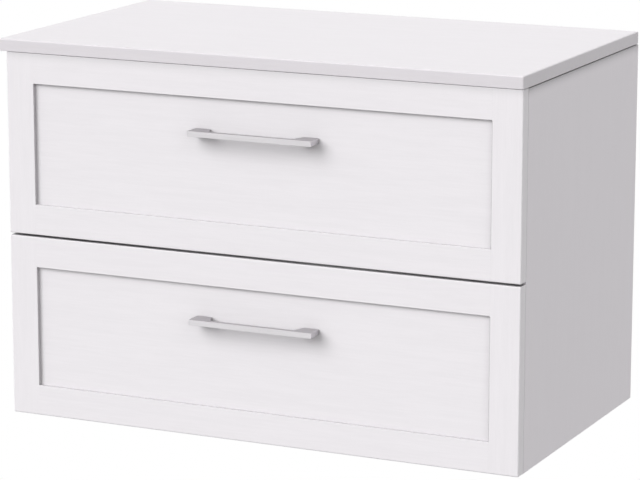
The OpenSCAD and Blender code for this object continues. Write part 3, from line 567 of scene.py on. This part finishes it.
# The wall's and the shelf's faces in millimetres from the side panel, and the sheet's thickness.
wall_near, wall_far, shelf_far, sheet_t = 5, 19, 41, 1
outside_radii, inside_radii = np.array([1, 1, 3, 3]) * MM, np.array([0.4, 0.4, 2, 2]) * MM
wall_lip_r, shelf_edge_r, shelf_end_r = 0.3 * MM, 0.25 * MM, 0.2 * MM


def tube(outer, inner, start, end, lip_r, axis):
    """A wall between two outlines carried along an axis: out along the outer one, over the lip,
    back along the inner one, and over the lip at the start, with each lip cut at 45 degrees."""
    out, within = mitres(outer), mitres(inner)
    outlines = np.stack([outer, outer, outer - lip_r * out, inner + lip_r * within, inner, inner,
                         inner + lip_r * within, outer - lip_r * out])
    heights = [start + lip_r, end - lip_r, end, end, end - lip_r, start + lip_r, start, start]
    return skin(outlines, heights, axis, ring=True)


for level in ("upper", "lower"):
    for side in ("left", "right"):
        node = f"{level}_drawer_side_{side}"
        low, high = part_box(node)
        top = (high.z - low.z) / MM
        outside = rectangle(wall_near, 0, wall_far, top)
        inside = rectangle(wall_near + sheet_t, sheet_t, wall_far - sheet_t, top - sheet_t)
        shelf = rectangle(wall_far, 0, shelf_far, sheet_t)
        outside, inside, shelf = (beside_panel(c, side, low.z) for c in (outside, inside, shelf))
        outside = rounded_outline(outside, outside_radii, steps=6)
        inside = rounded_outline(inside, inside_radii, steps=6)
        shelf = rounded_outline(shelf, shelf_edge_r, steps=2)
        wall = tube(outside, inside, low.y, high.y, wall_lip_r, "y")
        shelf = run(shelf, low.y, high.y, shelf_end_r, "y")
        make_piece(f"{node}_folded", [wall, shelf], powder_coat, f"{level}_drawer",
                   "painted_sheet", node)

# ---- Drawer bases, backs and the pipe way ----
# 16 mm melamine boards with banded edges. The base of the upper drawer is cut away at the back,
# and boards stand round the cut to make a way for the waste pipe.

drawer_edge_r, drawer_end_r = 0.5 * MM, 0.4 * MM
liner = skin_material("drawer_melamine", (0.765, 0.748, 0.765), size=1.0 * MM, depth=0.05 * MM,
                      roughness=0.45, contrast=0.045)
low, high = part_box("upper_drawer_base")
cut_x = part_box("pipe_way_side_right")[0].x
cut_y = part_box("pipe_way_front")[1].y
corners = [(low.x, low.y), (high.x, low.y), (high.x, high.y), (cut_x, high.y), (cut_x, cut_y),
           (-cut_x, cut_y), (-cut_x, high.y), (low.x, high.y)]
shape = run(rounded_outline(corners, drawer_edge_r), low.z, high.z, drawer_end_r, "z")
make_piece("upper_drawer_base_banded", [shape], liner, "upper_drawer", "drawer_board",
           "upper_drawer_base")
drawer_boards = {"upper_drawer_back_left": "x", "upper_drawer_back_right": "x",
                 "pipe_way_side_left": "y", "pipe_way_side_right": "y", "pipe_way_front": "x",
                 "lower_drawer_base": "x", "lower_drawer_back": "x"}
for node, axis in drawer_boards.items():
    body = "lower_drawer" if node.startswith("lower") else "upper_drawer"
    shape = board(*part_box(node), drawer_edge_r, drawer_end_r, axis)
    make_piece(f"{node}_banded", [shape], liner, body, "drawer_board", node)

# ---- Runners, the sliding parts ----
# Between the cabinet's channel and the one under the drawer lies a rolled I-shaped member, which
# travels half as far as the drawer. A folded tab behind the drawer's channel meets the
# soft-close unit.

slider = [(6.8, 1.8), (29.2, 1.8), (29.2, 8.2), (27.7, 8.2), (27.7, 3.3), (19.5, 3.3),
          (19.5, 17.7), (27.7, 17.7), (27.7, 12.8), (29.2, 12.8), (29.2, 19.2), (6.8, 19.2),
          (6.8, 12.8), (8.3, 12.8), (8.3, 17.7), (16.5, 17.7), (16.5, 3.3), (8.3, 3.3),
          (8.3, 8.2), (6.8, 8.2)]
drawer_channel = [(5, 21), (31, 21), (31, 11), (26, 11), (26, 12.5), (29.5, 12.5), (29.5, 19.5),
                  (6.5, 19.5), (6.5, 12.5), (10, 12.5), (10, 11), (5, 11)]
drawer_channel_radii = [1.6, 1.6, 1.6, 0.35, 0.35, 0.4, 0.6, 0.6, 0.4, 0.35, 0.35, 1.6]
tab = [(31, 17), (36.25, 17), (36.25, 9.5), (37.75, 9.5), (37.75, 18.5), (31, 18.5)]
tab_start, tab_end, bend_r = -120 * MM, -112 * MM, 0.4 * MM
for level in ("upper", "lower"):
    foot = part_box(f"{level}_cabinet_member_left")[0].z
    for side in ("left", "right"):
        node = f"{level}_intermediate_member_{side}"
        low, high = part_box(node)
        outline = rounded_outline(beside_panel(slider, side, foot), bend_r)
        shape = run(outline, low.y, high.y, sheet_edge_r, "y")
        make_piece(f"{node}_rolled", [shape], zinc_steel, f"{level}_intermediate_{side}",
                   "zinc_steel", node)
        node = f"{level}_drawer_member_{side}"
        low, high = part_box(node)
        outline = rounded_outline(beside_panel(drawer_channel, side, foot),
                                  np.array(drawer_channel_radii) * MM)
        folded = rounded_outline(beside_panel(tab, side, foot), bend_r)
        shapes = [run(outline, low.y, high.y, sheet_edge_r, "y"),
                  run(folded, tab_start, tab_end, sheet_edge_r, "y")]
        make_piece(f"{node}_rolled", shapes, zinc_steel, f"{level}_drawer", "zinc_steel", node)

# ---- Drawer fronts ----
# Each front is a frame of two upright stiles with a rail across the top and the bottom, and a
# centre panel that lies 6 mm back. All are wrapped in the foil, with the grain along each piece.

white = (0.83, 0.805, 0.83)
front_edge_r, front_top_r, front_back_r = 2.0 * MM, 0.5 * MM, 0.6 * MM
recess_edge_r, right_recess_r, tight_r = 0.4 * MM, 1.0 * MM, 0.05 * MM
# The faced pieces differ a little from the solids that they stand for: the upper front's head and
# recess reach higher, the gap between the two fronts lies lower, and the left stiles are narrower.
upper_head_rise, upper_recess_rise = 0.9 * MM, 2.0 * MM
gap_drop, left_stile_cut = 0.6 * MM, 1.0 * MM
# How much painted shade falls on a face that looks into the gap, across a recess, slantwise
# across it, or up from its ledge, and on the lower front's underside.
gap_shade, stile_shade, slant_shade, ledge_shade, foot_shade = 1.3, 0.6, 0.64, 0.4, 0.6
# Shade is also painted on the fronts just under the worktop, taking up to a fifth off their white
# and gone 20 mm below it.
front_top_shade = 0.79
foil_upright = foil("white_foil_upright", white, grain_upright)
foil_level = foil("white_foil_level", white, (0, 0, 0))
for material in (foil_level, foil_upright):
    shade_by_height(material, top_shade_foot, under_top, 1.0, front_top_shade, top_shade_power)

# The shares of a radius that the ends draw in by, so that neighbouring points stay apart.
keep_apart, keep_apart_back = 0.95, 0.9


def stile(low, high, inner_is_high, opening, foot_r, head_r, recess_r):
    """An upright run whose front inner edge is rounded only between the rails: there its outline
    blends from a sharp corner to an arc. At the ends the outline draws in at its face, back and
    outer side by r * (1 - sin t), and stays level with the rail on its inner side."""
    corners = np.array(rectangle(low.x, low.y, high.x, high.y))
    inner = np.array([0, 1, 1, 0] if inner_is_high else [1, 0, 0, 1], bool)
    sharp_radii = np.where(inner, tight_r, [front_edge_r, front_edge_r, front_back_r, front_back_r])
    open_radii = np.where(inner & (corners[:, 1] < low.y + tight_r), recess_r, sharp_radii)
    sharp, opened = rounded_outline(corners, sharp_radii), rounded_outline(corners, open_radii)
    draw = mitres(sharp)
    level_points = np.repeat(inner, len(sharp) // 4)
    draw[level_points] = np.sign(draw[level_points]) * (0, 1)
    draw *= np.where(draw[:, 1:] > 0.5, front_back_r / front_edge_r * keep_apart_back, 1)
    t = np.linspace(0, np.pi / 2, 5)
    recess = [opening[0], opening[0] + recess_r, opening[1] - recess_r, opening[1]]
    heights = np.concatenate([low.z + foot_r * (1 - np.cos(t)), recess,
                              high.z - head_r * (1 - np.cos(t[::-1]))])
    drawn_in = keep_apart * np.concatenate([foot_r * (1 - np.sin(t)), np.zeros(len(recess)),
                                            head_r * (1 - np.sin(t[::-1]))])
    share = np.concatenate([np.zeros(len(t)), (0, 1, 1, 0), np.zeros(len(t))])
    outlines = sharp + share[:, None, None] * (opened - sharp) - drawn_in[:, None, None] * draw
    return skin(outlines, heights, "z")


for level in ("upper", "lower"):
    body, is_upper = f"{level}_drawer", level == "upper"
    head_r = front_top_r if is_upper else front_edge_r
    head_rise = upper_head_rise if is_upper else -gap_drop
    recess_rise = upper_recess_rise if is_upper else -gap_drop
    foot_drop = gap_drop if is_upper else 0
    facing_gap = [(0, 0, -gap_shade if is_upper else gap_shade)]
    foot_way = [] if is_upper else [(0, 0, -foot_shade)]
    left_low, left_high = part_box(f"{level}_front_stile_left")
    right_low, right_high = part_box(f"{level}_front_stile_right")
    rail_h = left_high.x - left_low.x
    left_low.z -= foot_drop
    right_low.z -= foot_drop
    opening = [left_low.z + rail_h, left_high.z - rail_h + recess_rise]
    left_high.x -= left_stile_cut
    left_high.z += head_rise
    right_high.z += head_rise
    node = f"{level}_front_stile_left"
    shape = stile(left_low, left_high, True, opening, front_edge_r, head_r, recess_edge_r)
    make_piece(f"{node}_faced", [shape], foil_upright, body, "white_board", node,
               inward=[(stile_shade, 0, 0), *foot_way], facing_gap=facing_gap)
    node = f"{level}_front_stile_right"
    shape = stile(right_low, right_high, False, opening, front_edge_r, head_r, right_recess_r)
    make_piece(f"{node}_faced", [shape], foil_upright, body, "white_board", node,
               inward=[(-stile_shade, 0, 0), (-slant_shade, -slant_shade, 0), *foot_way],
               facing_gap=facing_gap)
    for place_name, radii in (("bottom", [front_edge_r, front_back_r, tight_r, recess_edge_r]),
                              ("top", [recess_edge_r, tight_r, front_back_r, head_r])):
        node = f"{level}_front_{place_name}_rail"
        low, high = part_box(node)
        if place_name == "bottom":
            foot, head, inward = low.z - foot_drop, opening[0], [(0, 0, ledge_shade), *foot_way]
        else:
            foot, head, inward = opening[1], high.z + head_rise, [(0, 0, -1)]
        outline = rounded_outline(rectangle(low.y, foot, high.y, head), radii)
        shape = run(outline, left_high.x, right_low.x, tight_r / 2, "x", steps=1)
        at_gap = place_name == ("bottom" if is_upper else "top")
        make_piece(f"{node}_faced", [shape], foil_level, body, "white_board", node,
                   inward=inward, facing_gap=facing_gap if at_gap else ())
    node = f"{level}_front_panel"
    low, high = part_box(node)
    low = Vector((left_high.x, low.y, opening[0]))
    high = Vector((right_low.x, high.y, opening[1]))
    shape = board(low, high, tight_r, tight_r / 2, "x")
    make_piece(f"{node}_faced", [shape], foil_level, body, "white_board", node)

paint_nodes(zinc_steel, "upper_front_brackets", "lower_front_brackets")
paint_nodes(bright_zinc, "upper_front_screws", "lower_front_screws")

# ---- Handles ----
# A flat aluminium bar that is bent back into two wide feet, brushed along its length and satin
# finished. Two machine screws hold each handle from behind the centre panel.

brushed_dark, brushed_light, brushed_thrown, grazing_tint = 0.94, 1.05, 0.2, 0.55
brush_depth, brush_strength = 0.01 * MM, 0.5


def brushed(name, colour, roughness):
    """Brushed aluminium: fine lines along X that change the tone, the gloss and the height. To the
    light that it throws its colour is painted dark, so that it throws only a little light on to the
    panel behind it."""
    material, tree, sockets, place = new_material(name, 1.0)
    lines, patch = streak(tree, place, 0.03, 0.00018), streak(tree, place, 0.08, 0.004)
    tone = spread(tree, calc(tree, "ADD", lines, patch), 0.7, 1.3)
    shown = blend_colours(tree, tone, tint(*colour, brushed_dark), tint(*colour, brushed_light))
    thrown = add(tree, "ShaderNodeLightPath").outputs["Is Diffuse Ray"]
    shown = blend_colours(tree, thrown, shown, tint(*colour, brushed_thrown))
    gloss = spread(tree, lines, 0.3, 0.7, roughness - 0.06, roughness + 0.06)
    tree.links.new(shown, sockets["Base Color"])
    tree.links.new(gloss, sockets["Roughness"])
    sockets["Specular Tint"].default_value = tint(grazing_tint, grazing_tint, grazing_tint)
    bump(tree, sockets, lines, brush_depth, brush_strength)
    return material


handle_finish = brushed("brushed_aluminium", (0.74, 0.72, 0.74), roughness=0.33)
foot_w, flare, bar_t, bar_edge_r = 23 * MM, 8 * MM, 8 * MM, 0.55 * MM
handle_radii = np.array([0.6, 1.6, 1.6, 0.6, 0.8, 3.0, 3.0, 0.8]) * MM
for level in ("upper", "lower"):
    node = f"{level}_handle"
    low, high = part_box(node)
    foot, bend, bar_back = high.x - foot_w, high.x - foot_w - flare, low.y + bar_t
    corners = [(low.x, high.y), (low.x, low.y), (high.x, low.y), (high.x, high.y), (foot, high.y),
               (bend, bar_back), (-bend, bar_back), (-foot, high.y)]
    outline = rounded_outline(corners, handle_radii, steps=6)
    shape = run(outline, low.z, high.z, bar_edge_r, "z")
    make_piece(f"{node}_brushed", [shape], handle_finish, f"{level}_drawer", "handle_metal", node)
paint_nodes(bright_zinc, "upper_handle_screws", "lower_handle_screws")

# ---- Floor, light and view ----
# A pale floor well below the hung cabinet, and the white room that shows behind it and in its
# metal. Five broad soft lamps light it: a strong one from the front, a little left and above, and
# weaker ones from both front corners, the right side and the back.


def seen(tree):
    """1 for what the camera sees, directly or in a mirror or through glass, and 0 for light."""
    path = add(tree, "ShaderNodeLightPath").outputs
    first = calc(tree, "MAXIMUM", path["Is Camera Ray"], path["Is Glossy Ray"])
    return calc(tree, "MAXIMUM", first, path["Is Transmission Ray"])


room_white, room_light, room_shown = (1, 1, 1, 1), 0.30, 1.0
world = bpy.data.worlds.new("white_room")
bpy.context.scene.world = world
world.use_nodes = True
tree = world.node_tree
tree.nodes.clear()
lit = add(tree, "ShaderNodeBackground", {"Color": room_white, "Strength": room_light}).outputs[0]
shown = add(tree, "ShaderNodeBackground", {"Color": room_white, "Strength": room_shown}).outputs[0]
mixed = add(tree, "ShaderNodeMixShader", {0: seen(tree), 1: lit, 2: shown}).outputs[0]
add(tree, "ShaderNodeOutputWorld", {"Surface": mixed})

floor_drop, floor_half = 0.39, 14.0
fade_near, fade_far, under_cabinet = 0.45, 0.95, (0, -0.23, 0)
floor_lit, floor_shown = tint(0.35, 0.35, 0.35), tint(0.82, 0.82, 0.82)
floor_z = cad_bounds[0].z - floor_drop
floor_mesh = bpy.data.meshes.new("floor")
grid = np.array(rectangle(-1, -1, 1, 1)) * floor_half
floor_mesh.from_pydata(np.column_stack([grid, np.full(4, floor_z)]).tolist(), [], [(0, 1, 2, 3)])
floor = bpy.data.objects.new("floor", floor_mesh)
bpy.context.scene.collection.objects.link(floor)
floor_paint = bpy.data.materials.new("pale_floor")
floor_paint.use_nodes = True
tree = floor_paint.node_tree
tree.nodes.clear()
place = add(tree, "ShaderNodeTexCoord").outputs["Object"]
flat = add(tree, "ShaderNodeVectorMath", {0: place, 1: (1, 1, 0)}, operation="MULTIPLY").outputs[0]
away = add(tree, "ShaderNodeVectorMath", {0: flat, 1: under_cabinet}, operation="DISTANCE")
fade = {"Value": away.outputs["Value"], "From Min": fade_near, "From Max": fade_far}
fade = add(tree, "ShaderNodeMapRange", fade, interpolation_type="SMOOTHSTEP").outputs["Result"]
share = calc(tree, "MULTIPLY", fade, seen(tree))
paint = blend_colours(tree, seen(tree), floor_lit, floor_shown)
paint = add(tree, "ShaderNodeBsdfDiffuse", {"Color": paint}).outputs[0]
glow = add(tree, "ShaderNodeEmission", {"Color": room_white, "Strength": room_shown}).outputs[0]
mixed = add(tree, "ShaderNodeMixShader", {0: share, 1: paint, 2: glow}).outputs[0]
clear = add(tree, "ShaderNodeBsdfTransparent").outputs[0]
below = add(tree, "ShaderNodeNewGeometry").outputs["Backfacing"]
mixed = add(tree, "ShaderNodeMixShader", {0: below, 1: mixed, 2: clear}).outputs[0]
add(tree, "ShaderNodeOutputMaterial", {"Surface": mixed})
floor_mesh.materials.append(floor_paint)


lamp_away = 3.0


def soft_sun(name, stands, breadth, strength):
    """A broad, far lamp that shines evenly on the cabinet from where it stands. It isn't mirrored
    itself, so that the satin white doesn't burn out in it from any side."""
    lamp = bpy.data.lights.new(name, "SUN")
    lamp.angle, lamp.energy = breadth, strength
    light = bpy.data.objects.new(name, lamp)
    light.location = Vector(stands) * lamp_away
    light.rotation_mode = "QUATERNION"
    light.rotation_quaternion = (-light.location).to_track_quat("-Z", "Y")
    light.visible_glossy = False
    bpy.context.scene.collection.objects.link(light)


soft_sun("key_light", (-0.5, -1.0, 0.7), breadth=0.8, strength=2.08)
soft_sun("right_light", (1.0, -0.9, 0.5), breadth=0.8, strength=0.55)
soft_sun("left_light", (-1.2, -1.0, 0.6), breadth=0.9, strength=0.5)
soft_sun("side_light", (1.0, 0.3, 0.35), breadth=0.5, strength=0.46)
soft_sun("back_light", (-0.3, 1.0, 0.4), breadth=0.8, strength=0.85)

lens, sensor = 170.25, 36.0
stands_at, looks_at = Vector((1.8483, -4.1794, 0.7194)), Vector((0.1001, -0.460, -0.1724))
camera = bpy.data.objects.new("camera", bpy.data.cameras.new("camera"))
camera.data.sensor_width = sensor
camera.data.lens = lens
camera.location = stands_at
camera.rotation_mode = "QUATERNION"
camera.rotation_quaternion = (looks_at - stands_at).to_track_quat("-Z", "Y")
bpy.context.scene.collection.objects.link(camera)
bpy.context.scene.camera = camera
bpy.context.scene.view_settings.view_transform = "Standard"
